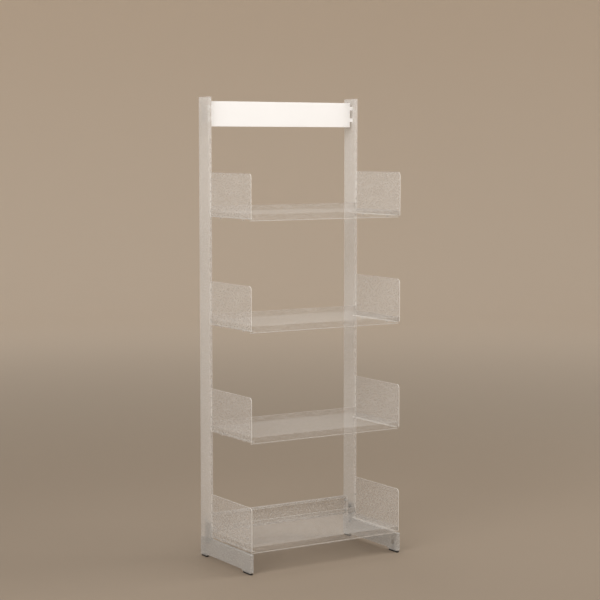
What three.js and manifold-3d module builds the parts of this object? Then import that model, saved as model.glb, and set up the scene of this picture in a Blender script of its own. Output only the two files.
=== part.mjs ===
// Magazine rack: a free-standing cantilever shelf unit. Two slotted posts stand on long feet and
// carry four tray shelves on hook-in side brackets, with a sign panel between the post tops.
// Millimetres. +Z is up, the open front faces -Y, and the origin is on the floor at the middle of
// the unit's footprint. Right-hand pieces lie at +X.
import * as THREE from 'three';
import * as BufferGeometryUtils from 'three/addons/utils/BufferGeometryUtils.js';
import Module from 'manifold-3d';

const wasm = await Module();
wasm.setup();

// Whole unit
const rackWidth = 690;
const rackDepth = 385;
const rackHeight = 1800;
const sheet = 2; // thickness of every formed sheet
const fitGap = 0.3; // clearance between neighbouring pieces
const overlap = 1; // how far a tool body runs past the face that it cuts or joins

// Posts, their caps, and the row of hook slots up the front face
const postWidth = 14;
const postDepth = 78;
const postCornerRadius = 2;
const capThickness = 3;
const capPlugDepth = 18;
const slotPitch = 38;
const slotCount = 41;
const firstSlotZ = 102; // lower edge of the lowest slot
const slotWidth = 3;
const slotHeight = 17;

// Feet
const footTop = 78;
const footUnderside = 12;
const footCornerRadius = 3;
const frontHeelLength = 62;
const rearHeelLength = 46;
const heelRamp = 7;
const heelCornerRadius = 3;

// Spigot that joins a post to its foot
const spigotDepth = 36;
const spigotSetback = 8; // behind the post's front wall, clear of the hook noses
const spigotLowZ = 58;
const spigotHighZ = 140;
const spigotScrewHeights = [67, 100, 128];

// Levelling glides: a threaded heel block in the foot, a stud and a shoe
const shoeHeight = 6;
const shoeWidth = 12;
const shoeEndGap = 1; // heel length that the shoe leaves free at each end
const shoeBevel = 1;
const bossRadius = 4.5;
const bossHeight = 5;
const studRadius = 3;
const studLowZ = 3.3;
const studHighZ = 54;
const collarZ = 42;
const collarHeight = 5;
const collarRadius = 4.6; // across corners / 2
const heelNeckLength = 24;
const heelNeckTop = 26;
const accessWidth = 16; // spanner opening in the foot's inner wall
const accessLowZ = 30;
const accessHighZ = 50;

// Shelves: heights are given from the lower edge of the shelf's front lip
const shelfLevels = [
  { name: 'base', z: 80 },
  { name: 'lower', z: 498 },
  { name: 'middle', z: 916 },
  { name: 'upper', z: 1334 },
];
const lipHeight = 28;
const lipReturn = 12;
const lipBendRadius = 3;
const upstandHeight = 20;
const shelfRearGap = 1;
const sideReturn = 12;
const tabWidth = 2;
const tabLength = 14;
const tabDrop = 8;
const tabInset = 8; // from the shelf's end to the locating tab
const tabSpots = [-120, 50]; // where the locating tabs stand along Y

// Side brackets
const bracketLowZ = 6;
const bracketHeight = 170;
const bracketTopRadius = 15;
const bracketFootRadius = 5;
const ledgeWidth = 14;
const ledgeFrontInset = 14;
const hookCount = 4;
const firstHookZ = 22; // from the lip's lower edge to the lowest hook's seat
const neckHeight = 7;
const noseDrop = 7;
const noseDepth = 4;

// Sign panel between the post tops
const headerWidth = 641;
const headerLowZ = 1686;
const headerHighZ = 1783;
const headerSetback = 20; // behind the posts' front faces
const headerFlange = 10;
const headerTabHeights = [1708, 1754];
const headerTabHeight = 14;
const headerLift = 8;

// Tie panels between the posts
const tieFlange = 14;
const tieLip = 9;
const tieEndDepth = 30;
const tieScrewSetback = 22;
const tieScrewInset = 18;
const lowerTie = { lowZ: 88, height: 77 };
const upperTie = { lowZ: 1702, height: 70 };

// Button-head screws
const screwRadius = 2.5;
const screwHoleRadius = 2.8;
const screwLength = 10;
const screwHeadRadius = 4.5;
const screwHeadHeight = 2.6;
const screwSocketRadius = 1.7;
const screwSocketDepth = 1.6;
const roundSegments = 14;

// Places that follow from the sizes above
const frontY = -rackDepth / 2;
const rearY = rackDepth / 2;
const postFrontY = rearY - postDepth;
const outerX = rackWidth / 2;
const innerX = outerX - postWidth;
const postMidX = outerX - postWidth / 2;
const postMidY = rearY - postDepth / 2;
const postTop = rackHeight - capThickness;
const postBottom = footTop + fitGap;
const heelZ = shoeHeight + fitGap;
const spigotFrontY = postFrontY + sheet + spigotSetback;
const spigotRearY = spigotFrontY + spigotDepth;
const spigotMidY = (spigotFrontY + spigotRearY) / 2;
const bracketRearY = postFrontY - fitGap;
const shelfRearY = postFrontY - shelfRearGap;
const shelfHalf = postMidX - sheet / 2 - fitGap;
const headerY = postFrontY + headerSetback;
const tieScrewY = rearY - tieScrewSetback;
const tieHalf = innerX - fitGap;
const heels = [
  { name: 'front', y: frontY + frontHeelLength / 2, length: frontHeelLength, facing: -1 },
  { name: 'rear', y: rearY - rearHeelLength / 2, length: rearHeelLength, facing: 1 },
];
const sides = [
  { name: 'left', sign: -1 },
  { name: 'right', sign: 1 },
];

// Finishes
const frostedSheet = { color: 0xdadcdb, roughness: 0.55, metalness: 0, transparent: true, opacity: 0.4 };
const frostedTube = { color: 0xe2e4e4, roughness: 0.5, metalness: 0, transparent: true, opacity: 0.75 };
const whiteSheet = { color: 0xf6f6f6, roughness: 0.5, metalness: 0 };
const blackNylon = { color: 0x1a1a1a, roughness: 0.6, metalness: 0 };
const zincSteel = { color: 0xb4b6b8, roughness: 0.35, metalness: 1 };

// ---- Solids -------------------------------------------------------------------------------

// A manifold solid from a closed three.js geometry.
function solid(geometry) {
  const bare = geometry.clone();
  bare.deleteAttribute('normal');
  bare.deleteAttribute('uv');
  const merged = BufferGeometryUtils.mergeVertices(bare, 1e-4);
  const mesh = new wasm.Mesh({
    numProp: 3,
    vertProperties: new Float32Array(merged.attributes.position.array),
    triVerts: new Uint32Array(merged.index.array),
  });
  return new wasm.Manifold(mesh);
}

// A three.js geometry from a manifold solid.
function geometryOf(manifold) {
  const mesh = manifold.getMesh();
  const geometry = new THREE.BufferGeometry();
  geometry.setAttribute('position', new THREE.BufferAttribute(mesh.vertProperties, 3));
  geometry.setIndex(new THREE.BufferAttribute(mesh.triVerts, 1));
  geometry.computeVertexNormals();
  return geometry;
}

// A body with every one of the additions joined to it and every one of the cuts taken out.
function shaped(base, additions, cuts) {
  let body = solid(base);
  for (const addition of additions) {
    body = body.add(solid(addition));
  }
  for (const cut of cuts) {
    body = body.subtract(solid(cut));
  }
  return geometryOf(body);
}

// A box given by its low and high limits; on the left side the X limits come in reversed.
function boxBetween(xs, ys, zs) {
  const size = [xs, ys, zs].map(([a, b]) => Math.abs(b - a));
  const middle = [xs, ys, zs].map(([a, b]) => (a + b) / 2);
  return new THREE.BoxGeometry(...size).translate(...middle);
}

// An outline drawn in Y and Z, extruded along X between two limits.
function extrudeAlongX(outline, xs) {
  const low = Math.min(...xs);
  const depth = Math.abs(xs[1] - xs[0]);
  const geometry = new THREE.ExtrudeGeometry(outline, { depth, bevelEnabled: false, curveSegments: 5 });
  const axes = new THREE.Matrix4().makeBasis(
    new THREE.Vector3(0, 1, 0),
    new THREE.Vector3(0, 0, 1),
    new THREE.Vector3(1, 0, 0),
  );
  return geometry.applyMatrix4(axes).translate(low, 0, 0);
}

// An outline drawn in X and Y, extruded upwards between two heights.
function extrudeAlongZ(outline, zs) {
  const depth = zs[1] - zs[0];
  const geometry = new THREE.ExtrudeGeometry(outline, { depth, bevelEnabled: false, curveSegments: 4 });
  return geometry.translate(0, 0, zs[0]);
}

function roundedRectangle(width, depth, radius) {
  const x = width / 2;
  const y = depth / 2;
  const outline = new THREE.Shape();
  outline.absarc(x - radius, y - radius, radius, 0, Math.PI / 2);
  outline.absarc(radius - x, y - radius, radius, Math.PI / 2, Math.PI);
  outline.absarc(radius - x, radius - y, radius, Math.PI, Math.PI * 1.5);
  outline.absarc(x - radius, radius - y, radius, Math.PI * 1.5, Math.PI * 2);
  return outline;
}

// A cylinder along Z between two heights.
function uprightCylinder(radius, zs, segments = roundSegments) {
  const height = zs[1] - zs[0];
  const geometry = new THREE.CylinderGeometry(radius, radius, height, segments);
  return geometry.rotateX(Math.PI / 2).translate(0, 0, (zs[0] + zs[1]) / 2);
}

// A screw hole through a side wall: a short cylinder along X.
function sideHole(x, y, z) {
  const length = 2 * (sheet + overlap) + sheet;
  const geometry = new THREE.CylinderGeometry(screwHoleRadius, screwHoleRadius, length, roundSegments);
  return geometry.rotateZ(Math.PI / 2).translate(x, y, z);
}

// ---- Posts and feet -----------------------------------------------------------------------

function tieScrewHeights(tie) {
  return [tie.lowZ + tieScrewInset, tie.lowZ + tie.height - tieScrewInset];
}

// Rectangular tube with the slot row in front, and the sign panel's slots and the screw holes in
// its inner wall.
function postGeometry(sign) {
  const outline = roundedRectangle(postWidth, postDepth, postCornerRadius);
  const tube = extrudeAlongZ(outline, [postBottom, postTop]).translate(sign * postMidX, postMidY, 0);
  const cavity = boxBetween(
    [sign * (innerX + sheet), sign * (outerX - sheet)],
    [postFrontY + sheet, rearY - sheet],
    [postBottom - overlap, postTop + overlap],
  );
  const cuts = [cavity];
  for (let index = 0; index < slotCount; index += 1) {
    const z = firstSlotZ + index * slotPitch;
    const slotX = [sign * postMidX - slotWidth / 2, sign * postMidX + slotWidth / 2];
    cuts.push(boxBetween(slotX, [postFrontY - overlap, postFrontY + sheet + overlap], [z, z + slotHeight]));
  }
  const innerWall = [sign * (innerX - overlap), sign * (innerX + sheet + overlap)];
  for (const z of headerTabHeights) {
    const slotZ = [z - fitGap, z + headerTabHeight + headerLift + fitGap];
    cuts.push(boxBetween(innerWall, [headerY - fitGap, headerY + sheet + fitGap], slotZ));
  }
  const wallX = sign * (innerX + sheet / 2);
  for (const z of spigotScrewHeights.filter((height) => height > footTop)) {
    cuts.push(sideHole(wallX, spigotMidY, z));
  }
  for (const z of [...tieScrewHeights(lowerTie), ...tieScrewHeights(upperTie)]) {
    cuts.push(sideHole(wallX, tieScrewY, z));
  }
  return shaped(tube, [], cuts);
}

// Push-in cap: a cover plate on a plug.
function capGeometry() {
  const outline = roundedRectangle(postWidth, postDepth, postCornerRadius);
  const plate = extrudeAlongZ(outline, [fitGap, capThickness]);
  const plugX = postWidth / 2 - sheet - fitGap;
  const plugY = postDepth / 2 - sheet - fitGap;
  const plug = boxBetween([-plugX, plugX], [-plugY, plugY], [-capPlugDepth, capThickness - overlap]);
  return shaped(plate, [plug], []);
}

// Side view of a foot: a long bar with one rounded top front corner.
function footOutline() {
  const radius = footCornerRadius;
  const outline = new THREE.Shape();
  outline.moveTo(frontY, footUnderside);
  outline.lineTo(rearY, footUnderside);
  outline.lineTo(rearY, footTop);
  outline.absarc(frontY + radius, footTop - radius, radius, Math.PI / 2, Math.PI);
  return outline;
}

// Folded channel, open below, with a window in its top for the spigot.
function footGeometry(sign) {
  const shell = extrudeAlongX(footOutline(), [sign * innerX, sign * outerX]);
  const cavityX = [sign * (innerX + sheet), sign * (outerX - sheet)];
  const innerWall = [sign * (innerX - overlap), sign * (innerX + sheet + overlap)];
  const cavity = boxBetween(cavityX, [frontY + sheet, rearY - sheet], [-overlap, footTop - sheet]);
  const windowY = [spigotFrontY - fitGap, spigotRearY + fitGap];
  const window = boxBetween(cavityX, windowY, [footTop - sheet - overlap, footTop + overlap]);
  const cuts = [cavity, window, sideHole(sign * (innerX + sheet / 2), spigotMidY, spigotScrewHeights[0])];
  for (const heel of heels) {
    const accessY = [heel.y - accessWidth / 2, heel.y + accessWidth / 2];
    cuts.push(boxBetween(innerWall, accessY, [accessLowZ, accessHighZ]));
  }
  return shaped(shell, [], cuts);
}

// Short rectangular tube that stands in the foot and up into the post.
function spigotGeometry(sign) {
  const halfWidth = postWidth / 2 - sheet - fitGap;
  const middle = sign * postMidX;
  const outside = boxBetween(
    [middle - halfWidth, middle + halfWidth],
    [spigotFrontY, spigotRearY],
    [spigotLowZ, spigotHighZ],
  );
  const inside = boxBetween(
    [middle - halfWidth + sheet, middle + halfWidth - sheet],
    [spigotFrontY + sheet, spigotRearY - sheet],
    [spigotLowZ - overlap, spigotHighZ + overlap],
  );
  const wallX = middle - sign * (halfWidth - sheet / 2);
  const holes = spigotScrewHeights.map((z) => sideHole(wallX, spigotMidY, z));
  return shaped(outside, [], [inside, ...holes]);
}

// ---- Levelling glides ---------------------------------------------------------------------

// Side view of a heel block below the foot, drawn about its middle. Its outer end is upright with a
// rounded corner, and its inner end slopes up to the foot; facing is -1 where the outer end is the
// front one.
function heelOutline(length, facing) {
  const outerEnd = (facing * length) / 2;
  const innerEnd = -outerEnd;
  const topZ = footUnderside - fitGap;
  const radius = heelCornerRadius;
  const outline = new THREE.Shape();
  outline.moveTo(outerEnd, topZ);
  outline.lineTo(outerEnd, heelZ + radius);
  outline.quadraticCurveTo(outerEnd, heelZ, outerEnd - facing * radius, heelZ);
  outline.lineTo(innerEnd, heelZ);
  outline.quadraticCurveTo(innerEnd - (facing * heelRamp) / 2, topZ, innerEnd - facing * heelRamp, topZ);
  return outline;
}

// Moulded heel: a block flush with the foot's sides, with a threaded neck inside the channel.
function heelGeometry(length, facing) {
  const neckHalf = postWidth / 2 - sheet - fitGap;
  const block = extrudeAlongX(heelOutline(length, facing), [-postWidth / 2, postWidth / 2]);
  const neckY = [-heelNeckLength / 2, heelNeckLength / 2];
  const neck = boxBetween([-neckHalf, neckHalf], neckY, [footUnderside - overlap, heelNeckTop]);
  const bore = uprightCylinder(studRadius + fitGap, [heelZ - overlap, heelNeckTop + overlap]);
  const bossRoom = uprightCylinder(bossRadius + fitGap, [heelZ - overlap, shoeHeight + bossHeight + fitGap]);
  return shaped(block, [neck], [bore, bossRoom]);
}

// Levelling stud with a hexagonal collar for a spanner.
function studGeometry() {
  const stud = uprightCylinder(studRadius, [studLowZ, studHighZ]);
  const collar = uprightCylinder(collarRadius, [collarZ, collarZ + collarHeight], 6);
  return shaped(stud, [collar], []);
}

// Long nylon shoe with round ends and a socket for the stud.
function shoeGeometry(heelLength) {
  const halfWidth = shoeWidth / 2 - shoeBevel;
  const straight = heelLength / 2 - shoeEndGap - shoeWidth / 2;
  const outline = new THREE.Shape();
  outline.absarc(0, straight, halfWidth, 0, Math.PI);
  outline.absarc(0, -straight, halfWidth, Math.PI, Math.PI * 2);
  const sole = new THREE.ExtrudeGeometry(outline, {
    depth: shoeHeight - 2 * shoeBevel,
    bevelThickness: shoeBevel,
    bevelSize: shoeBevel,
    bevelSegments: 1,
    curveSegments: 8,
  }).translate(0, 0, shoeBevel);
  const boss = uprightCylinder(bossRadius, [shoeHeight - overlap, shoeHeight + bossHeight]);
  const socket = uprightCylinder(studRadius + fitGap, [studLowZ - fitGap, shoeHeight + bossHeight + overlap]);
  return shaped(sole, [boss], [socket]);
}

// ---- Shelves and brackets -----------------------------------------------------------------

// Side view of a bracket plate: rounded front corners, and a row of hooks down the rear edge.
function bracketOutline() {
  const topZ = bracketLowZ + bracketHeight;
  const neckEndY = postFrontY + sheet + fitGap;
  const outline = new THREE.Shape();
  outline.moveTo(bracketRearY, bracketLowZ);
  for (let index = 0; index < hookCount; index += 1) {
    const seatZ = firstHookZ + index * slotPitch + fitGap;
    outline.lineTo(bracketRearY, seatZ);
    outline.lineTo(neckEndY, seatZ);
    outline.lineTo(neckEndY, seatZ - noseDrop);
    outline.lineTo(neckEndY + noseDepth, seatZ - noseDrop);
    outline.lineTo(neckEndY + noseDepth, seatZ + neckHeight);
    outline.lineTo(bracketRearY, seatZ + neckHeight);
  }
  outline.lineTo(bracketRearY, topZ);
  outline.absarc(frontY + bracketTopRadius, topZ - bracketTopRadius, bracketTopRadius, Math.PI / 2, Math.PI);
  const footRadius = bracketFootRadius;
  outline.absarc(frontY + footRadius, bracketLowZ + footRadius, footRadius, Math.PI, Math.PI * 1.5);
  return outline;
}

// Plate in the middle plane of the post, with a ledge folded inwards that carries the shelf.
function bracketGeometry(sign) {
  const plateX = [sign * (postMidX - sheet / 2), sign * (postMidX + sheet / 2)];
  const plate = extrudeAlongX(bracketOutline(), plateX);
  const ledgeZ = [bracketLowZ, bracketLowZ + sheet];
  const ledge = boxBetween(
    [sign * (postMidX - sheet / 2 - ledgeWidth), sign * postMidX],
    [frontY + ledgeFrontInset, bracketRearY - sheet],
    ledgeZ,
  );
  const tabX = shelfHalf - tabInset;
  const slots = tabSpots.map((y) => boxBetween(
    [sign * (tabX - tabWidth / 2 - fitGap), sign * (tabX + tabWidth / 2 + fitGap)],
    [y - tabLength / 2 - fitGap, y + tabLength / 2 + fitGap],
    [ledgeZ[0] - overlap, ledgeZ[1] + overlap],
  ));
  return shaped(plate, [ledge], slots);
}

// Section of a shelf from front to back: rolled lip with a return, flat top, rear upstand.
function shelfOutline() {
  const underZ = lipHeight - sheet;
  const insideY = frontY + sheet;
  const outline = new THREE.Shape();
  outline.moveTo(frontY, 0);
  outline.lineTo(frontY + lipReturn, 0);
  outline.lineTo(frontY + lipReturn, sheet);
  outline.lineTo(insideY, sheet);
  outline.lineTo(insideY, underZ);
  outline.lineTo(shelfRearY, underZ);
  outline.lineTo(shelfRearY, lipHeight + upstandHeight);
  outline.lineTo(shelfRearY - sheet, lipHeight + upstandHeight);
  outline.lineTo(shelfRearY - sheet, lipHeight);
  outline.absarc(frontY + lipBendRadius, lipHeight - lipBendRadius, lipBendRadius, Math.PI / 2, Math.PI);
  return outline;
}

// Tray shelf: its ends are folded down and back in, and rest on the bracket ledges, where two
// tabs a side drop into the ledges' slots.
function shelfGeometry() {
  const tray = extrudeAlongX(shelfOutline(), [-shelfHalf, shelfHalf]);
  const restZ = bracketLowZ + sheet + fitGap;
  const endY = [frontY + sheet / 2, shelfRearY];
  const additions = [];
  for (const { sign } of sides) {
    const end = sign * shelfHalf;
    additions.push(boxBetween([end, end - sign * sheet], endY, [restZ, lipHeight - sheet / 2]));
    additions.push(boxBetween([end, end - sign * sideReturn], endY, [restZ, restZ + sheet]));
    const tabX = end - sign * tabInset;
    for (const y of tabSpots) {
      const tabY = [y - tabLength / 2, y + tabLength / 2];
      const tabZ = [restZ - tabDrop, restZ + sheet / 2];
      additions.push(boxBetween([tabX - tabWidth / 2, tabX + tabWidth / 2], tabY, tabZ));
    }
  }
  return shaped(tray, additions, []);
}

// ---- Sign panel and ties ------------------------------------------------------------------

// Flat panel with a flange along its top and bottom, and two hook tabs at each end.
function headerGeometry() {
  const half = headerWidth / 2;
  const ys = [headerY, headerY + sheet];
  const flangeY = [headerY, headerY + headerFlange];
  const panel = boxBetween([-half, half], ys, [headerLowZ, headerHighZ]);
  const additions = [
    boxBetween([-half, half], flangeY, [headerLowZ, headerLowZ + sheet]),
    boxBetween([-half, half], flangeY, [headerHighZ - sheet, headerHighZ]),
  ];
  const noseX = innerX + sheet + fitGap;
  for (const { sign } of sides) {
    for (const z of headerTabHeights) {
      const noseZ = [z - noseDrop, z + headerTabHeight];
      additions.push(boxBetween([sign * (half - overlap), sign * (noseX + noseDepth)], ys, [z, noseZ[1]]));
      additions.push(boxBetween([sign * noseX, sign * (noseX + noseDepth)], ys, noseZ));
    }
  }
  return shaped(panel, additions, []);
}

// Section of a tie panel: back sheet with a flange and lip folded forwards at top and bottom.
function tieOutline(height) {
  const flangeY = rearY - tieFlange;
  const backY = rearY - sheet;
  const outline = new THREE.Shape();
  outline.moveTo(rearY, 0);
  outline.lineTo(rearY, height);
  outline.lineTo(flangeY, height);
  outline.lineTo(flangeY, height - tieLip);
  outline.lineTo(flangeY + sheet, height - tieLip);
  outline.lineTo(flangeY + sheet, height - sheet);
  outline.lineTo(backY, height - sheet);
  outline.lineTo(backY, sheet);
  outline.lineTo(flangeY + sheet, sheet);
  outline.lineTo(flangeY + sheet, tieLip);
  outline.lineTo(flangeY, tieLip);
  outline.lineTo(flangeY, 0);
  return outline;
}

// Tie panel with an end plate against each post, drilled for two screws.
function tieGeometry(height) {
  const panel = extrudeAlongX(tieOutline(height), [-tieHalf, tieHalf]);
  const plates = [];
  const holes = [];
  for (const { sign } of sides) {
    const plateX = [sign * tieHalf, sign * (tieHalf - sheet)];
    plates.push(boxBetween(plateX, [rearY - tieEndDepth, rearY], [0, height]));
    for (const z of [tieScrewInset, height - tieScrewInset]) {
      holes.push(sideHole(sign * (tieHalf - sheet / 2), tieScrewY, z));
    }
  }
  return shaped(panel, plates, holes);
}

// Button-head screw pointing up +Z, with the underside of its head at the origin.
function screwGeometry() {
  const profile = [new THREE.Vector2(0, screwLength), new THREE.Vector2(screwRadius, screwLength)];
  profile.push(new THREE.Vector2(screwRadius, 0), new THREE.Vector2(screwHeadRadius, 0));
  const domeSteps = 3;
  for (let step = 1; step <= domeSteps; step += 1) {
    const angle = (step / domeSteps) * (Math.PI / 2);
    profile.push(new THREE.Vector2(screwHeadRadius * Math.cos(angle), -screwHeadHeight * Math.sin(angle)));
  }
  profile[profile.length - 1].x = 0;
  const turned = new THREE.LatheGeometry(profile.reverse(), roundSegments).rotateX(Math.PI / 2);
  const socketZ = [-screwHeadHeight - overlap, screwSocketDepth - screwHeadHeight];
  const socket = uprightCylinder(screwSocketRadius, socketZ, 6);
  return shaped(turned, [], [socket]);
}

// ---- Assembly -----------------------------------------------------------------------------

const rack = new THREE.Group();

function addPiece(parent, name, geometry, finish, position = [0, 0, 0]) {
  const piece = new THREE.Mesh(geometry, new THREE.MeshStandardMaterial(finish));
  piece.name = name;
  piece.position.set(...position);
  parent.add(piece);
  return piece;
}

// A screw in a side wall, driven outwards from the middle of the rack.
function addSideScrew(name, geometry, sign, seatX, y, z) {
  const screw = addPiece(rack, name, geometry, zincSteel, [sign * seatX, y, z]);
  screw.rotation.y = (sign * Math.PI) / 2;
}

function addUprights() {
  const cap = capGeometry();
  const screw = screwGeometry();
  for (const { name, sign } of sides) {
    addPiece(rack, `post_${name}`, postGeometry(sign), frostedTube);
    addPiece(rack, `post_cap_${name}`, cap, frostedTube, [sign * postMidX, postMidY, postTop]);
    addPiece(rack, `foot_${name}`, footGeometry(sign), frostedTube);
    addPiece(rack, `post_spigot_${name}`, spigotGeometry(sign), zincSteel);
    spigotScrewHeights.forEach((z, index) => {
      addSideScrew(`spigot_screw_${name}_${index + 1}`, screw, sign, innerX - fitGap, spigotMidY, z);
    });
  }
}

function addGlides() {
  const stud = studGeometry();
  for (const heel of heels) {
    const block = heelGeometry(heel.length, heel.facing);
    const shoe = shoeGeometry(heel.length);
    for (const { name, sign } of sides) {
      const place = [sign * postMidX, heel.y, 0];
      addPiece(rack, `heel_block_${heel.name}_${name}`, block, frostedTube, place);
      addPiece(rack, `leveller_stud_${heel.name}_${name}`, stud, zincSteel, place);
      addPiece(rack, `glide_shoe_${heel.name}_${name}`, shoe, blackNylon, place);
    }
  }
}

function addTies() {
  const screw = screwGeometry();
  for (const [name, tie] of [['lower', lowerTie], ['upper', upperTie]]) {
    addPiece(rack, `${name}_tie`, tieGeometry(tie.height), frostedSheet, [0, 0, tie.lowZ]);
    for (const side of sides) {
      tieScrewHeights(tie).forEach((z, index) => {
        const screwName = `${name}_tie_screw_${side.name}_${index + 1}`;
        addSideScrew(screwName, screw, side.sign, tieHalf - sheet - fitGap, tieScrewY, z);
      });
    }
  }
}

function addShelves() {
  const tray = shelfGeometry();
  for (const level of shelfLevels) {
    const storey = new THREE.Group();
    storey.position.z = level.z;
    rack.add(storey);
    addPiece(storey, `shelf_${level.name}`, tray, frostedSheet);
    for (const { name, sign } of sides) {
      addPiece(storey, `bracket_${level.name}_${name}`, bracketGeometry(sign), frostedSheet);
    }
  }
}

addUprights();
addGlides();
addTies();
addShelves();
addPiece(rack, 'header_panel', headerGeometry(), whiteSheet);

export default rack;
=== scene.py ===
import math
import bmesh
import bpy
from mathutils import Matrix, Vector


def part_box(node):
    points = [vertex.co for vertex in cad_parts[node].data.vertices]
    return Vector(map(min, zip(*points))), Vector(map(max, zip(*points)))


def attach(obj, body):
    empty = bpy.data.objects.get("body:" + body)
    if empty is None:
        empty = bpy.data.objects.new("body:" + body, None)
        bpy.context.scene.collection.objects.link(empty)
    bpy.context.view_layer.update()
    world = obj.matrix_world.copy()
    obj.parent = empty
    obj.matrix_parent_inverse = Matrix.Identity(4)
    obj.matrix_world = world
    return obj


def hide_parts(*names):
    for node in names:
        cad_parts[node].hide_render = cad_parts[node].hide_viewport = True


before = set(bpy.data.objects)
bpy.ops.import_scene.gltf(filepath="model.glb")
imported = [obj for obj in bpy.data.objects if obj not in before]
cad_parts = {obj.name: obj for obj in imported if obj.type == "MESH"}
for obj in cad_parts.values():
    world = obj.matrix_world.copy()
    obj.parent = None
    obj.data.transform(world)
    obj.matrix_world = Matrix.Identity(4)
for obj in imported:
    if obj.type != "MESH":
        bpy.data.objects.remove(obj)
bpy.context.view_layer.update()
scene = bpy.context.scene
mm = 0.001

sides = {"left": -1, "right": 1}
levels = ["base", "lower", "middle", "upper"]
heelNames = ["front", "rear"]


# Colours and nodes

def linearColour(hexCode, alpha=1.0):
    parts = [int(hexCode[i:i + 2], 16) / 255 for i in (1, 3, 5)]
    line = [c / 12.92 if c <= 0.04045 else ((c + 0.055) / 1.055) ** 2.4 for c in parts]
    return (*line, alpha)


def addNode(tree, kind, settings=None, inputs=None):
    node = tree.nodes.new(kind)
    for name, value in (settings or {}).items():
        setattr(node, name, value)
    for socket, value in (inputs or {}).items():
        if isinstance(value, bpy.types.NodeSocket):
            tree.links.new(value, node.inputs[socket])
        elif isinstance(value, list):  # a socket that takes several links
            for source in value:
                tree.links.new(source, node.inputs[socket])
        else:
            node.inputs[socket].default_value = value
    return node


def perMetre(size):
    return 1 / (size * mm)  # noise scale that gives features of this size in mm


# Materials

# Extruded acrylic, frosted on both faces. It gives a milky sheet that lets what is behind it show
# softly, with a fine white grain and a satin sheen. Cut edges get a painted highlight: a lighter tint and a
# faint glow.
frostedLook = {
    "tint": "#d6d2ce", "tintWarm": "#cdc7c0", "speck": "#fdfcfa", "speckStrength": 0.7,
    "roughness": (0.42, 0.58), "alpha": 0.3, "ior": 1.49, "glow": 0.0,
    "cloudSize": 90, "grainSize": 1.8, "speckSize": 4.2, "grainDepth": 0.03,  # mm
}


def frostedMaterial(name, look):
    material = bpy.data.materials.new(name)
    material.use_nodes = True
    tree = material.node_tree
    tree.nodes.clear()
    place = addNode(tree, "ShaderNodeTexCoord").outputs["Object"]
    cloud = addNode(tree, "ShaderNodeTexNoise", {}, {
        "Vector": place, "Scale": perMetre(look["cloudSize"]), "Detail": 2.0, "Roughness": 0.5})
    grain = addNode(tree, "ShaderNodeTexNoise", {}, {
        "Vector": place, "Scale": perMetre(look["grainSize"]), "Detail": 3.0, "Roughness": 0.65})
    specks = addNode(tree, "ShaderNodeTexNoise", {}, {
        "Vector": place, "Scale": perMetre(look["speckSize"]), "Detail": 1.0, "Roughness": 0.4})
    tone = addNode(tree, "ShaderNodeMix", {"data_type": "RGBA"}, {
        0: cloud.outputs["Fac"], 6: linearColour(look["tint"]), 7: linearColour(look["tintWarm"])})
    lift = addNode(tree, "ShaderNodeMapRange", {}, {
        "Value": specks.outputs["Fac"], "From Min": 0.5, "From Max": 0.64, "To Min": 0.0,
        "To Max": look["speckStrength"]})
    colour = addNode(tree, "ShaderNodeMix", {"data_type": "RGBA"}, {
        0: lift.outputs["Result"], 6: tone.outputs[2], 7: linearColour(look["speck"])})
    low, high = look["roughness"]
    gloss = addNode(tree, "ShaderNodeMapRange", {}, {
        "Value": grain.outputs["Fac"], "From Min": 0.3, "From Max": 0.7, "To Min": low, "To Max": high})
    bump = addNode(tree, "ShaderNodeBump", {}, {
        "Height": grain.outputs["Fac"], "Strength": 0.35, "Distance": look["grainDepth"] * mm})
    # the emission paints a faint glow where a finish asks for one, as on the painted cut-edge highlight
    shader = addNode(tree, "ShaderNodeBsdfPrincipled", {}, {
        "Base Color": colour.outputs[2], "Roughness": gloss.outputs["Result"],
        "Normal": bump.outputs["Normal"], "IOR": look["ior"], "Alpha": look["alpha"],
        "Emission Color": linearColour(look["tint"]), "Emission Strength": look["glow"]})
    addNode(tree, "ShaderNodeOutputMaterial", {}, {"Surface": shader.outputs["BSDF"]})
    material.diffuse_color = linearColour(look["tint"], look["alpha"])
    return material


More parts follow.
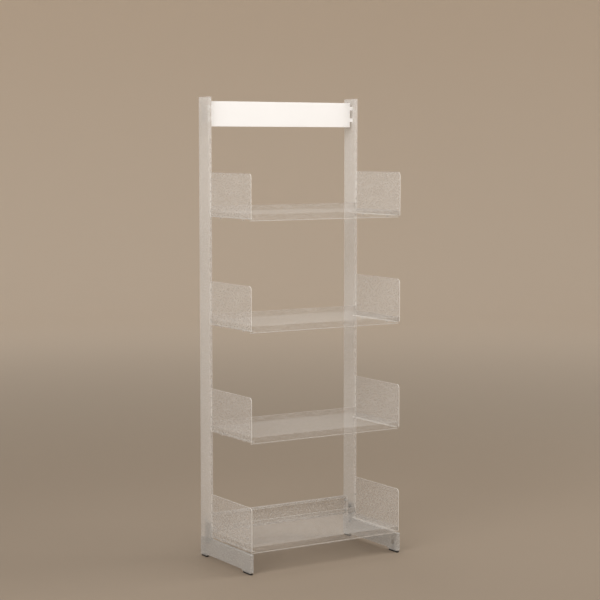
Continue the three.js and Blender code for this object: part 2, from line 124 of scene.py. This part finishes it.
# One recipe for the opaque finishes: a tone that drifts or fades, and a fine grain in the gloss and
# in the relief.
def solidMaterial(name, look):
    material = bpy.data.materials.new(name)
    material.use_nodes = True
    tree = material.node_tree
    tree.nodes.clear()
    place = addNode(tree, "ShaderNodeTexCoord").outputs["Object"]
    stretched = addNode(tree, "ShaderNodeMapping", {}, {
        "Vector": place, "Scale": look.get("stretch", (1, 1, 1))})
    grain = addNode(tree, "ShaderNodeTexNoise", {}, {
        "Vector": stretched.outputs["Vector"], "Scale": perMetre(look["grainSize"]), "Detail": 2.0})
    if "fade" in look:  # from one tint to the other between two distances from the origin
        near, far = look["fade"]
        reach = addNode(tree, "ShaderNodeVectorMath", {"operation": "LENGTH"}, {0: place})
        fade = addNode(tree, "ShaderNodeMapRange", {"interpolation_type": "SMOOTHSTEP"}, {
            "Value": reach.outputs["Value"], "From Min": near, "From Max": far})
        drift = fade.outputs["Result"]
    else:
        cloud = addNode(tree, "ShaderNodeTexNoise", {}, {
            "Vector": place, "Scale": perMetre(look["cloudSize"]), "Detail": 3.0, "Roughness": 0.55})
        drift = cloud.outputs["Fac"]
    tone = addNode(tree, "ShaderNodeMix", {"data_type": "RGBA"}, {
        0: drift, 6: linearColour(look["tint"]), 7: linearColour(look["tintTwo"])})
    low, high = look["roughness"]
    gloss = addNode(tree, "ShaderNodeMapRange", {}, {
        "Value": grain.outputs["Fac"], "From Min": 0.3, "From Max": 0.7, "To Min": low, "To Max": high})
    bump = addNode(tree, "ShaderNodeBump", {}, {
        "Height": grain.outputs["Fac"], "Strength": look["bump"], "Distance": look["grainDepth"] * mm})
    shader = addNode(tree, "ShaderNodeBsdfPrincipled", {}, {
        "Base Color": tone.outputs[2], "Roughness": gloss.outputs["Result"],
        "Normal": bump.outputs["Normal"], "Metallic": look["metallic"]})
    addNode(tree, "ShaderNodeOutputMaterial", {}, {"Surface": shader.outputs["BSDF"]})
    material.diffuse_color = linearColour(look["tint"])
    return material


frostedSheet = frostedMaterial("frostedAcrylicSheet", frostedLook)
shadedTraySheet = frostedMaterial("frostedAcrylicTrayPaintedShade", {  # the clearest sheet: the post shows through a shelf; its darker tint is painted shade against the light its top catches
    **frostedLook, "tint": "#bdb6ae", "tintWarm": "#b3aba1", "alpha": 0.2, "cloudSize": 120,
    "speckStrength": 1.0})
frostedTube = frostedMaterial("frostedAcrylicTube", {  # a milkier wall
    **frostedLook, "tint": "#e8e4e0", "tintWarm": "#dfdad4", "alpha": 0.33, "cloudSize": 140})
frostedFoot = frostedMaterial("frostedAcrylicChannel", {  # the milkiest wall, and a little cooler
    **frostedLook, "tint": "#cfcdca", "tintWarm": "#c5c2be", "alpha": 0.46, "cloudSize": 110})
paintedEdgeHighlight = frostedMaterial("frostedAcrylicPaintedEdgeHighlight", {  # painted highlight: a lighter, faintly glowing line along a cut edge
    **frostedLook, "tint": "#fbf9f5", "tintWarm": "#f3efe8", "alpha": 0.7, "roughness": (0.3, 0.42),
    "glow": 0.12})
powderWhite = solidMaterial("powderCoatedSteelWhite", {
    "tint": "#fcfcfc", "tintTwo": "#f8f8f8", "cloudSize": 120, "grainSize": 1.6, "grainDepth": 0.06,
    "roughness": (0.4, 0.55), "bump": 0.3, "metallic": 0.0})  # opaque satin with a faint orange peel
powderGrey = solidMaterial("powderCoatedSteelGrey", {
    "tint": "#a9a8a5", "tintTwo": "#9f9e9b", "cloudSize": 60, "grainSize": 1.2, "grainDepth": 0.06,
    "roughness": (0.42, 0.56), "bump": 0.3, "metallic": 0.0})  # satin coat on the spigot tube
nylonBlack = solidMaterial("mouldedNylonBlack", {
    "tint": "#1b1a19", "tintTwo": "#262423", "cloudSize": 12, "grainSize": 0.8, "grainDepth": 0.08,
    "roughness": (0.5, 0.68), "bump": 0.4, "metallic": 0.0})  # dull spark-eroded mould texture
zincPlate = solidMaterial("zincPlatedSteel", {
    "tint": "#c9cbcd", "tintTwo": "#b4b3ae", "cloudSize": 6, "grainSize": 0.7, "grainDepth": 0.02,
    "roughness": (0.22, 0.38), "bump": 0.25, "metallic": 1.0,
    "stretch": (1, 1, 4)})  # bright, slightly yellowed


# Mesh helpers

def plainObject(name, mesh):
    thing = bpy.data.objects.new(name, mesh)
    scene.collection.objects.link(thing)
    return thing


def bakedObject(draft, name):
    # turns an object with live modifiers into a plain mesh object under its final name
    bpy.context.view_layer.update()
    graph = bpy.context.evaluated_depsgraph_get()
    mesh = bpy.data.meshes.new_from_object(draft.evaluated_get(graph), depsgraph=graph)
    spent = draft.data
    bpy.data.objects.remove(draft)
    bpy.data.meshes.remove(spent)
    mesh.name = name
    return plainObject(name, mesh)


def settle(piece, body, nodes):
    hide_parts(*nodes)
    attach(piece, body)


def faceSpans(face):
    # how far a face reaches along its longest edge and across it
    edge = max(face.edges, key=lambda item: item.calc_length())
    along = (edge.verts[1].co - edge.verts[0].co).normalized()
    across = face.normal.cross(along)
    spans = []
    for direction in (along, across):
        reach = [corner.co.dot(direction) for corner in face.verts]
        spans.append(max(reach) - min(reach))
    return spans


# Formed pieces: the outline of the CAD node, with its folds bent round and its cut edges eased

foldPlan = {  # mm and degrees
    "sheet": 2.0,
    "sheetSlack": 0.1,
    "outerBend": 1.9,  # outside of a fold
    "innerBend": 0.7,
    "bendSteps": 3,
    "easedEdge": 0.3,  # burr taken off a cut edge
    "easeSteps": 2,
    "thinFace": 2.6,  # a face narrower than this is no wall of the piece, so it has no fold
    "foldAngle": 40,
    "mergeGap": 0.02,
    "flatAngle": 0.5,  # triangles that meet flatter than this are one face
}


def formedPiece(name, node, coats, outerBend=foldPlan["outerBend"]):
    # coats: the finish of the faces and, for sheet that shows its cut edges, a second one for them, the
    # painted edge highlight
    thin = foldPlan["thinFace"] * mm
    sharp = math.radians(foldPlan["foldAngle"])
    shape = bmesh.new()
    shape.from_mesh(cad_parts[node].data)
    bmesh.ops.remove_doubles(shape, verts=shape.verts, dist=foldPlan["mergeGap"] * mm)
    bmesh.ops.dissolve_limit(shape, angle_limit=math.radians(foldPlan["flatAngle"]), verts=shape.verts,
                             edges=shape.edges)
    bmesh.ops.recalc_face_normals(shape, faces=shape.faces)
    narrow = {}
    for face in shape.faces:
        spans = faceSpans(face)
        narrow[face] = min(spans) < thin
        isCut = any(abs(span - foldPlan["sheet"] * mm) < foldPlan["sheetSlack"] * mm for span in spans)
        # faces as thick as the sheet are cut edges and take the second coat, the painted edge highlight
        face.material_index = 1 if isCut and len(coats) > 1 else 0
    folds = {True: [], False: []}
    for edge in shape.edges:
        if len(edge.link_faces) == 2 and edge.calc_face_angle(0) > sharp:
            if not any(narrow[face] for face in edge.link_faces):
                folds[edge.is_convex].append(edge)
    for convex, radius in ((True, outerBend), (False, foldPlan["innerBend"])):
        live = [edge for edge in folds[convex] if edge.is_valid]
        if live and radius:
            bmesh.ops.bevel(shape, geom=live, offset=radius * mm, offset_type="OFFSET", affect="EDGES",
                            segments=foldPlan["bendSteps"], profile=0.5, clamp_overlap=True, material=0)
    mesh = bpy.data.meshes.new(name + "Draft")
    for coat in coats:
        mesh.materials.append(coat)
    shape.to_mesh(mesh)
    shape.free()
    draft = plainObject(name + "Draft", mesh)
    mesh.shade_smooth()
    easing = draft.modifiers.new("easedEdges", "BEVEL")
    easing.width = foldPlan["easedEdge"] * mm
    easing.segments = foldPlan["easeSteps"]
    easing.limit_method = "ANGLE"
    easing.angle_limit = sharp
    # eased edges take the second coat too, the painted edge highlight
    easing.material = 1 if len(coats) > 1 else -1
    evening = draft.modifiers.new("evenShading", "WEIGHTED_NORMAL")
    evening.keep_sharp = True
    return bakedObject(draft, name)


outerBends = {  # mm, where a piece is bent tighter than foldPlan says
    "bracket": 1.0, "cap": 0.8, "foot": 1.6, "spigot": 1.2, "heelBlock": 0.8, "shoe": 0.6,
}

for level in levels:
    shelf = formedPiece(f"{level}ShelfTray", f"shelf_{level}", [shadedTraySheet, paintedEdgeHighlight])
    settle(shelf, f"{level}_shelf", [f"shelf_{level}"])
    for side in sides:
        bracket = f"bracket_{level}_{side}"
        plate = formedPiece(f"{level}Bracket{side.title()}", bracket, [frostedSheet, paintedEdgeHighlight],
                            outerBends["bracket"])
        settle(plate, f"{level}_shelf", [bracket])
print("shelves and brackets made")

for tie in ("lower", "upper"):
    panel = formedPiece(f"{tie}TiePanel", f"{tie}_tie", [frostedSheet, paintedEdgeHighlight])
    settle(panel, "frame", [f"{tie}_tie"])
signPiece = formedPiece("signPanel", "header_panel", [powderWhite])
settle(signPiece, "header", ["header_panel"])
print("ties and sign panel made")

for side in sides:
    label = side.title()
    cap = formedPiece(f"postCap{label}", f"post_cap_{side}", [frostedTube], outerBends["cap"])
    settle(cap, "frame", [f"post_cap_{side}"])
    foot = formedPiece(f"footChannel{label}", f"foot_{side}", [frostedFoot], outerBends["foot"])
    settle(foot, "frame", [f"foot_{side}"])
    spigot = formedPiece(f"spigotTube{label}", f"post_spigot_{side}", [powderGrey], outerBends["spigot"])
    settle(spigot, "frame", [f"post_spigot_{side}"])
    for heel in heelNames:
        corner = f"{heel.title()}{label}"
        block = formedPiece(f"heelBlock{corner}", f"heel_block_{heel}_{side}", [frostedFoot],
                            outerBends["heelBlock"])
        settle(block, "frame", [f"heel_block_{heel}_{side}"])
        shoe = formedPiece(f"glideShoe{corner}", f"glide_shoe_{heel}_{side}", [nylonBlack],
                           outerBends["shoe"])
        settle(shoe, f"glide_{heel}_{side}", [f"glide_shoe_{heel}_{side}"])
print("feet, caps and glides made")


# Geometry Nodes pieces: slotted posts, screws and levelling studs

smoothAngle = 30  # degrees, a grown piece stays crisp along edges sharper than this


def newTree(name, sizes):
    tree = bpy.data.node_groups.new(name, "GeometryNodeTree")
    tree.interface.new_socket("Geometry", in_out="INPUT", socket_type="NodeSocketGeometry")
    for label, value in sizes.items():
        kind = "NodeSocketInt" if isinstance(value, int) else "NodeSocketFloat"
        tree.interface.new_socket(label, in_out="INPUT", socket_type=kind)
    tree.interface.new_socket("Finish", in_out="INPUT", socket_type="NodeSocketMaterial")
    tree.interface.new_socket("Geometry", in_out="OUTPUT", socket_type="NodeSocketGeometry")
    return tree, tree.nodes.new("NodeGroupInput").outputs


def closeTree(tree, given, geometry):
    real = addNode(tree, "GeometryNodeRealizeInstances", {}, {"Geometry": geometry})
    dressed = addNode(tree, "GeometryNodeSetMaterial", {}, {
        "Geometry": real.outputs["Geometry"], "Material": given["Finish"]})
    addNode(tree, "NodeGroupOutput", {}, {"Geometry": dressed.outputs["Geometry"]})


def grownPiece(name, tree, sizes, finish, points, marks=None):
    # points carry the tree's instances; marks are number attributes on them
    cloud = bpy.data.meshes.new(name + "Points")
    cloud.from_pydata(points, [], [])
    for label, numbers in (marks or {}).items():
        layer = cloud.attributes.new(label, "FLOAT", "POINT")
        for entry, number in zip(layer.data, numbers):
            entry.value = number
    draft = plainObject(name + "Draft", cloud)
    growth = draft.modifiers.new("growth", "NODES")
    growth.node_group = tree
    sockets = {item.name: item.identifier for item in tree.interface.items_tree if item.in_out == "INPUT"}
    for label, value in sizes.items():
        growth[sockets[label]] = value if isinstance(value, int) else value * mm
    growth[sockets["Finish"]] = finish
    piece = bakedObject(draft, name)
    piece.data.shade_smooth()
    piece.data.set_sharp_from_angle(angle=math.radians(smoothAngle))
    return piece


def roundedBar(tree, width, depth, corner, low, high):
    # an upright bar with a rounded section, between two heights
    section = addNode(tree, "GeometryNodeCurvePrimitiveQuadrilateral", {"mode": "RECTANGLE"}, {
        "Width": width, "Height": depth})
    softSection = addNode(tree, "GeometryNodeFilletCurve", {"mode": "POLY"}, {
        "Curve": section.outputs["Curve"], "Count": 4, "Radius": corner, "Limit Radius": True})
    bottom = addNode(tree, "ShaderNodeCombineXYZ", {}, {"Z": low})
    top = addNode(tree, "ShaderNodeCombineXYZ", {}, {"Z": high})
    line = addNode(tree, "GeometryNodeCurvePrimitiveLine", {}, {
        "Start": bottom.outputs["Vector"], "End": top.outputs["Vector"]})
    bar = addNode(tree, "GeometryNodeCurveToMesh", {}, {
        "Curve": line.outputs["Curve"], "Profile Curve": softSection.outputs["Curve"], "Fill Caps": True})
    return bar.outputs["Mesh"]


def helix(tree, radius, pitch, height, depth, steps):
    # a screw thread: a small round ridge along a spiral that climbs from the origin
    turns = addNode(tree, "ShaderNodeMath", {"operation": "DIVIDE"}, {0: height, 1: pitch})
    spiral = addNode(tree, "GeometryNodeCurveSpiral", {}, {
        "Resolution": steps, "Rotations": turns.outputs["Value"], "Start Radius": radius,
        "End Radius": radius, "Height": height})
    ridge = addNode(tree, "GeometryNodeCurvePrimitiveCircle", {"mode": "RADIUS"}, {
        "Resolution": 4, "Radius": depth})
    thread = addNode(tree, "GeometryNodeCurveToMesh", {}, {
        "Curve": spiral.outputs["Curve"], "Profile Curve": ridge.outputs["Curve"], "Fill Caps": True})
    return thread.outputs["Mesh"]


quarterTurn = math.pi / 2

postPlan = {  # mm
    "Width": 14.0, "Depth": 78.0, "Corner": 2.0, "Bore Width": 10.0, "Bore Depth": 74.0, "Bore Corner": 0.6,
    "Slot Width": 3.0, "Slot Height": 17.0, "Slot Corner": 1.2, "First Slot": 110.5, "Slot Pitch": 38.0,
    "Slot Count": 41, "Hole Radius": 2.8, "Sign Slot Width": 2.6, "Sign Slot Height": 22.6,
    "Cut Reach": 4.0,
}
boreOverrun = 2.0  # mm that the boring tool runs past the tube's ends
signSlotHeights = [33, 79]  # mm, middles of the hook slots above the sign panel's lower edge


def postSizes(side):
    low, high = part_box(f"post_{side}")
    return {**postPlan, "Low": low.z / mm, "High": high.z / mm, "Bore Low": low.z / mm - boreOverrun,
            "Bore High": high.z / mm + boreOverrun, "Centre X": (low.x + high.x) / 2 / mm,
            "Centre Y": (low.y + high.y) / 2 / mm}


def slottedPostTree(sizes):
    tree, given = newTree("slottedPostTree", sizes)
    tube = roundedBar(tree, given["Width"], given["Depth"], given["Corner"], given["Low"], given["High"])
    bore = roundedBar(tree, given["Bore Width"], given["Bore Depth"], given["Bore Corner"],
                      given["Bore Low"], given["Bore High"])
    back = addNode(tree, "ShaderNodeMath", {"operation": "MULTIPLY"}, {0: given["Cut Reach"], 1: -1.0})
    slotCutter = roundedBar(tree, given["Slot Width"], given["Slot Height"], given["Slot Corner"],
                            back.outputs["Value"], given["Cut Reach"])
    signCutter = roundedBar(tree, given["Sign Slot Width"], given["Sign Slot Height"], given["Slot Corner"],
                            back.outputs["Value"], given["Cut Reach"])
    frontFace = addNode(tree, "ShaderNodeMath", {"operation": "MULTIPLY"}, {0: given["Depth"], 1: -0.5})
    firstPlace = addNode(tree, "ShaderNodeCombineXYZ", {}, {
        "Y": frontFace.outputs["Value"], "Z": given["First Slot"]})
    step = addNode(tree, "ShaderNodeCombineXYZ", {}, {"Z": given["Slot Pitch"]})
    row = addNode(tree, "GeometryNodeMeshLine", {"mode": "OFFSET", "count_mode": "TOTAL"}, {
        "Count": given["Slot Count"], "Start Location": firstPlace.outputs["Vector"],
        "Offset": step.outputs["Vector"]})
    slots = addNode(tree, "GeometryNodeInstanceOnPoints", {}, {
        "Points": row.outputs["Mesh"], "Instance": slotCutter, "Rotation": (quarterTurn, 0, 0)})
    drillDepth = addNode(tree, "ShaderNodeMath", {"operation": "MULTIPLY"}, {0: given["Cut Reach"], 1: 2.0})
    drill = addNode(tree, "GeometryNodeMeshCylinder", {}, {
        "Vertices": 20, "Radius": given["Hole Radius"], "Depth": drillDepth.outputs["Value"]})
    tall = addNode(tree, "GeometryNodeInputNamedAttribute", {"data_type": "FLOAT"}, {"Name": "tall"})
    places = addNode(tree, "GeometryNodeSeparateGeometry", {"domain": "POINT"}, {
        "Geometry": given["Geometry"], "Selection": tall.outputs["Attribute"]})
    signSlots = addNode(tree, "GeometryNodeInstanceOnPoints", {}, {
        "Points": places.outputs["Selection"], "Instance": signCutter,
        "Rotation": (quarterTurn, 0, quarterTurn)})
    holes = addNode(tree, "GeometryNodeInstanceOnPoints", {}, {
        "Points": places.outputs["Inverted"], "Instance": drill.outputs["Mesh"],
        "Rotation": (0, quarterTurn, 0)})
    cuts = [addNode(tree, "GeometryNodeRealizeInstances", {}, {"Geometry": cut.outputs[0]}).outputs[0]
            for cut in (slots, signSlots, holes)]
    hollow = addNode(tree, "GeometryNodeMeshBoolean", {"operation": "DIFFERENCE", "solver": "EXACT"}, {
        "Mesh 1": tube, "Mesh 2": [bore]})
    cutTube = addNode(tree, "GeometryNodeMeshBoolean", {"operation": "DIFFERENCE", "solver": "EXACT"}, {
        "Mesh 1": hollow.outputs["Mesh"], "Mesh 2": cuts})
    centre = addNode(tree, "ShaderNodeCombineXYZ", {}, {"X": given["Centre X"], "Y": given["Centre Y"]})
    placed = addNode(tree, "GeometryNodeTransform", {}, {
        "Geometry": cutTube.outputs["Mesh"], "Translation": centre.outputs["Vector"]})
    closeTree(tree, given, placed.outputs["Geometry"])
    return tree


postTree = slottedPostTree(postSizes("left"))
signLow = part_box("header_panel")[0]
halfSheet = foldPlan["sheet"] / 2 * mm
for side, hand in sides.items():
    postLow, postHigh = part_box(f"post_{side}")
    middleY = (postLow.y + postHigh.y) / 2
    wallX = -hand * (postPlan["Width"] / 2 * mm - halfSheet)  # the middle of the wall that faces inwards
    points, tallMarks = [], []
    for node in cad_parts:
        if f"screw_{side}_" in node:
            low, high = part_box(node)
            if (low.z + high.z) / 2 > postLow.z:
                points.append((wallX, (low.y + high.y) / 2 - middleY, (low.z + high.z) / 2))
                tallMarks.append(0)
    for height in signSlotHeights:
        points.append((wallX, signLow.y + halfSheet - middleY, signLow.z + height * mm))
        tallMarks.append(1)
    post = grownPiece(f"postTube{side.title()}", postTree, postSizes(side), frostedTube, points,
                      {"tall": tallMarks})
    settle(post, "frame", [f"post_{side}"])
print("slotted posts grown")

screwPlan = {  # mm, M5 button head
    "Head Radius": 4.5, "Head Height": 2.6, "Shank Radius": 2.2, "Shank Length": 10.0,
    "Socket Radius": 1.7, "Socket Depth": 1.6, "Thread Pitch": 0.8, "Thread Depth": 0.3,
    "Thread Length": 9.6, "Thread Steps": 14,
}
trimSize = 0.02  # m, a block that cuts the underside of a head flat


def buttonScrewTree(sizes):
    tree, given = newTree("buttonScrewTree", sizes)
    ball = addNode(tree, "GeometryNodeMeshUVSphere", {}, {"Segments": 28, "Rings": 14, "Radius": 1.0})
    squash = addNode(tree, "ShaderNodeCombineXYZ", {}, {
        "X": given["Head Radius"], "Y": given["Head Radius"], "Z": given["Head Height"]})
    dome = addNode(tree, "GeometryNodeTransform", {}, {
        "Geometry": ball.outputs["Mesh"], "Scale": squash.outputs["Vector"]})
    block = addNode(tree, "GeometryNodeMeshCube", {}, {"Size": (trimSize, trimSize, trimSize)})
    above = addNode(tree, "GeometryNodeTransform", {}, {
        "Geometry": block.outputs["Mesh"], "Translation": (0, 0, trimSize / 2)})
    keyDepth = addNode(tree, "ShaderNodeMath", {"operation": "MULTIPLY"}, {
        0: given["Socket Depth"], 1: 2.0})
    key = addNode(tree, "GeometryNodeMeshCylinder", {}, {
        "Vertices": 6, "Radius": given["Socket Radius"], "Depth": keyDepth.outputs["Value"]})
    crown = addNode(tree, "ShaderNodeMath", {"operation": "MULTIPLY"}, {0: given["Head Height"], 1: -1.0})
    keyPlace = addNode(tree, "ShaderNodeCombineXYZ", {}, {"Z": crown.outputs["Value"]})
    keyDown = addNode(tree, "GeometryNodeTransform", {}, {
        "Geometry": key.outputs["Mesh"], "Translation": keyPlace.outputs["Vector"]})
    head = addNode(tree, "GeometryNodeMeshBoolean", {"operation": "DIFFERENCE", "solver": "EXACT"}, {
        "Mesh 1": dome.outputs["Geometry"],
        "Mesh 2": [above.outputs["Geometry"], keyDown.outputs["Geometry"]]})
    shank = addNode(tree, "GeometryNodeMeshCylinder", {}, {
        "Vertices": 20, "Radius": given["Shank Radius"], "Depth": given["Shank Length"]})
    halfShank = addNode(tree, "ShaderNodeMath", {"operation": "MULTIPLY"}, {
        0: given["Shank Length"], 1: 0.5})
    shankPlace = addNode(tree, "ShaderNodeCombineXYZ", {}, {"Z": halfShank.outputs["Value"]})
    shankUp = addNode(tree, "GeometryNodeTransform", {}, {
        "Geometry": shank.outputs["Mesh"], "Translation": shankPlace.outputs["Vector"]})
    thread = helix(tree, given["Shank Radius"], given["Thread Pitch"], given["Thread Length"],
                   given["Thread Depth"], given["Thread Steps"])
    whole = addNode(tree, "GeometryNodeJoinGeometry", {}, {
        "Geometry": [head.outputs["Mesh"], shankUp.outputs["Geometry"], thread]})
    facing = addNode(tree, "GeometryNodeInputNamedAttribute", {"data_type": "FLOAT"}, {"Name": "facing"})
    swing = addNode(tree, "ShaderNodeMath", {"operation": "MULTIPLY"}, {
        0: facing.outputs["Attribute"], 1: quarterTurn})
    turned = addNode(tree, "ShaderNodeCombineXYZ", {}, {"Y": swing.outputs["Value"]})
    screws = addNode(tree, "GeometryNodeInstanceOnPoints", {}, {
        "Points": given["Geometry"], "Instance": whole.outputs["Geometry"],
        "Rotation": turned.outputs["Vector"]})
    closeTree(tree, given, screws.outputs["Instances"])
    return tree


screwTree = buttonScrewTree(screwPlan)
screwNodes = sorted(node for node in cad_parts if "screw" in node)
seats, facings = [], []
for node in screwNodes:
    low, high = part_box(node)
    facing = 1 if low.x > 0 else -1
    headHeight = screwPlan["Head Height"] * mm
    seatX = low.x + headHeight if facing > 0 else high.x - headHeight
    seats.append((seatX, (low.y + high.y) / 2, (low.z + high.z) / 2))
    facings.append(facing)
screws = grownPiece("buttonHeadScrews", screwTree, screwPlan, zincPlate, seats, {"facing": facings})
settle(screws, "frame", screwNodes)
print("screws grown")

studPlan = {  # mm, M6 levelling stud
    "Core Radius": 2.7, "Low": 3.3, "High": 54.0, "Collar Radius": 4.6, "Collar Low": 42.0,
    "Collar Height": 5.0, "Thread Pitch": 1.0, "Thread Depth": 0.3,
    "Thread Length": 49.9, "Thread Steps": 12,
}


def levellingStudTree(sizes):
    tree, given = newTree("levellingStudTree", sizes)
    across = addNode(tree, "ShaderNodeMath", {"operation": "MULTIPLY"}, {0: given["Core Radius"], 1: 2.0})
    core = roundedBar(tree, across.outputs["Value"], across.outputs["Value"], given["Core Radius"],
                      given["Low"], given["High"])
    thread = helix(tree, given["Core Radius"], given["Thread Pitch"], given["Thread Length"],
                   given["Thread Depth"], given["Thread Steps"])
    lift = addNode(tree, "ShaderNodeCombineXYZ", {}, {"Z": given["Low"]})
    threadUp = addNode(tree, "GeometryNodeTransform", {}, {
        "Geometry": thread, "Translation": lift.outputs["Vector"]})
    collar = addNode(tree, "GeometryNodeMeshCylinder", {}, {
        "Vertices": 6, "Radius": given["Collar Radius"], "Depth": given["Collar Height"]})
    collarMiddle = addNode(tree, "ShaderNodeMath", {"operation": "MULTIPLY_ADD"}, {
        0: given["Collar Height"], 1: 0.5, 2: given["Collar Low"]})
    collarPlace = addNode(tree, "ShaderNodeCombineXYZ", {}, {"Z": collarMiddle.outputs["Value"]})
    collarUp = addNode(tree, "GeometryNodeTransform", {}, {
        "Geometry": collar.outputs["Mesh"], "Translation": collarPlace.outputs["Vector"]})
    whole = addNode(tree, "GeometryNodeJoinGeometry", {}, {
        "Geometry": [core, threadUp.outputs["Geometry"], collarUp.outputs["Geometry"]]})
    studs = addNode(tree, "GeometryNodeInstanceOnPoints", {}, {
        "Points": given["Geometry"], "Instance": whole.outputs["Geometry"]})
    closeTree(tree, given, studs.outputs["Instances"])
    return tree


studTree = levellingStudTree(studPlan)
for side in sides:
    for heel in heelNames:
        name = f"levellingStud{heel.title()}{side.title()}"
        node = f"leveller_stud_{heel}_{side}"
        low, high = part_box(node)
        axis = ((low.x + high.x) / 2, (low.y + high.y) / 2, 0)
        stud = grownPiece(name, studTree, studPlan, zincPlate, [axis])
        settle(stud, f"glide_{heel}_{side}", [node])
print("levelling studs grown")


# Studio: a plain round floor that rises into a backdrop all the way round, and soft lamps

studioPlan = {  # lengths in m
    "floorRings": [0.001, 1, 3, 6, 9], "coveRadius": 3.0, "coveSteps": 12, "wallTop": 5.5, "turns": 72,
    "floorTint": "#908170", "wallTint": "#e8d9c7", "fade": (1.5, 9.0),
}


def studioMesh():
    mesh = bpy.data.meshes.new("studioSweep")
    shape = bmesh.new()
    radius, bend, steps = studioPlan["floorRings"][-1], studioPlan["coveRadius"], studioPlan["coveSteps"]
    profile = [(reach, 0) for reach in studioPlan["floorRings"]]
    for step in range(1, steps + 1):
        angle = math.pi / 2 * step / steps
        profile.append((radius + bend * math.sin(angle), bend * (1 - math.cos(angle))))
    profile.append((radius + bend, studioPlan["wallTop"]))
    turns = studioPlan["turns"]
    rings = []
    for reach, height in profile:
        rings.append([shape.verts.new((reach * math.cos(a), reach * math.sin(a), height))
                      for a in [2 * math.pi * k / turns for k in range(turns)]])
    for inner, outer in zip(rings, rings[1:]):
        for k in range(turns):
            shape.faces.new((inner[k], outer[k], outer[(k + 1) % turns], inner[(k + 1) % turns]))
    shape.faces.new(rings[0])
    shape.to_mesh(mesh)
    shape.free()
    mesh.shade_smooth()
    return mesh


sweep = plainObject("studioSweep", studioMesh())
sweepPaint = solidMaterial("mattPaintWarm", {
    "tint": studioPlan["floorTint"], "tintTwo": studioPlan["wallTint"], "fade": studioPlan["fade"],
    "grainSize": 6, "grainDepth": 0.2, "roughness": (0.85, 0.95), "bump": 0.2, "metallic": 0.0})
sweep.data.materials.append(sweepPaint)

lightPlan = {
    "overhead": {"place": (-0.2, -1.2, 3.0), "aim": (0, 0, 1.5), "size": 1.4, "power": 10, "tint": "#fffdfb"},
    "front": {"place": (-1.4, -5.6, 2.8), "aim": (0, 0, 1.6), "size": 3.0, "power": 27, "tint": "#ffffff"},
    "left": {"place": (-3.3, -1.5, 2.9), "aim": (0, 0, 1.7), "size": 2.0, "power": 72, "tint": "#ffffff"},
    "right": {"place": (3.3, -1.2, 2.9), "aim": (0, 0, 1.7), "size": 2.0, "power": 72, "tint": "#fffefc"},
    "behind": {"place": (0.4, 2.4, 3.7), "aim": (0, 0, 1.2), "size": 1.6, "power": 30, "tint": "#ffffff"},
}
for name, plan in lightPlan.items():
    lamp = bpy.data.lights.new(name + "Light", "AREA")
    lamp.size = plan["size"]
    lamp.energy = plan["power"]
    lamp.color = linearColour(plan["tint"])[:3]
    holder = bpy.data.objects.new(name + "Light", lamp)
    holder.location = plan["place"]
    beam = Vector(plan["aim"]) - Vector(plan["place"])
    holder.rotation_euler = beam.to_track_quat("-Z", "Y").to_euler()
    scene.collection.objects.link(holder)

roomPlan = {"tint": "#f6f3ef", "strength": 0.58}
world = bpy.data.worlds.new("softRoom")
world.use_nodes = True
world.node_tree.nodes.clear()
sky = addNode(world.node_tree, "ShaderNodeBackground", {}, {
    "Color": linearColour(roomPlan["tint"]), "Strength": roomPlan["strength"]})
addNode(world.node_tree, "ShaderNodeOutputWorld", {}, {"Surface": sky.outputs["Background"]})
scene.world = world

cameraPlan = {"lens": 102.37, "sensor": 36, "distance": 6.677, "azimuth": -32.28, "elevation": 5.238,
              "aim": (-0.003, 0, 1.011), "clipEnd": 60}
turn, rise = math.radians(cameraPlan["azimuth"]), math.radians(cameraPlan["elevation"])
away = Vector((math.sin(turn) * math.cos(rise), -math.cos(turn) * math.cos(rise), math.sin(rise)))
lens = bpy.data.cameras.new("portraitLens")
lens.lens = cameraPlan["lens"]
lens.sensor_width = cameraPlan["sensor"]
lens.clip_end = cameraPlan["clipEnd"]
camera = bpy.data.objects.new("camera", lens)
camera.location = Vector(cameraPlan["aim"]) + away * cameraPlan["distance"]
camera.rotation_euler = (-away).to_track_quat("-Z", "Y").to_euler()
scene.collection.objects.link(camera)
scene.camera = camera
scene.view_settings.view_transform = "Standard"
scene.cycles.transparent_max_bounces = 32  # two for each frosted wall on a sight line
print("studio made")
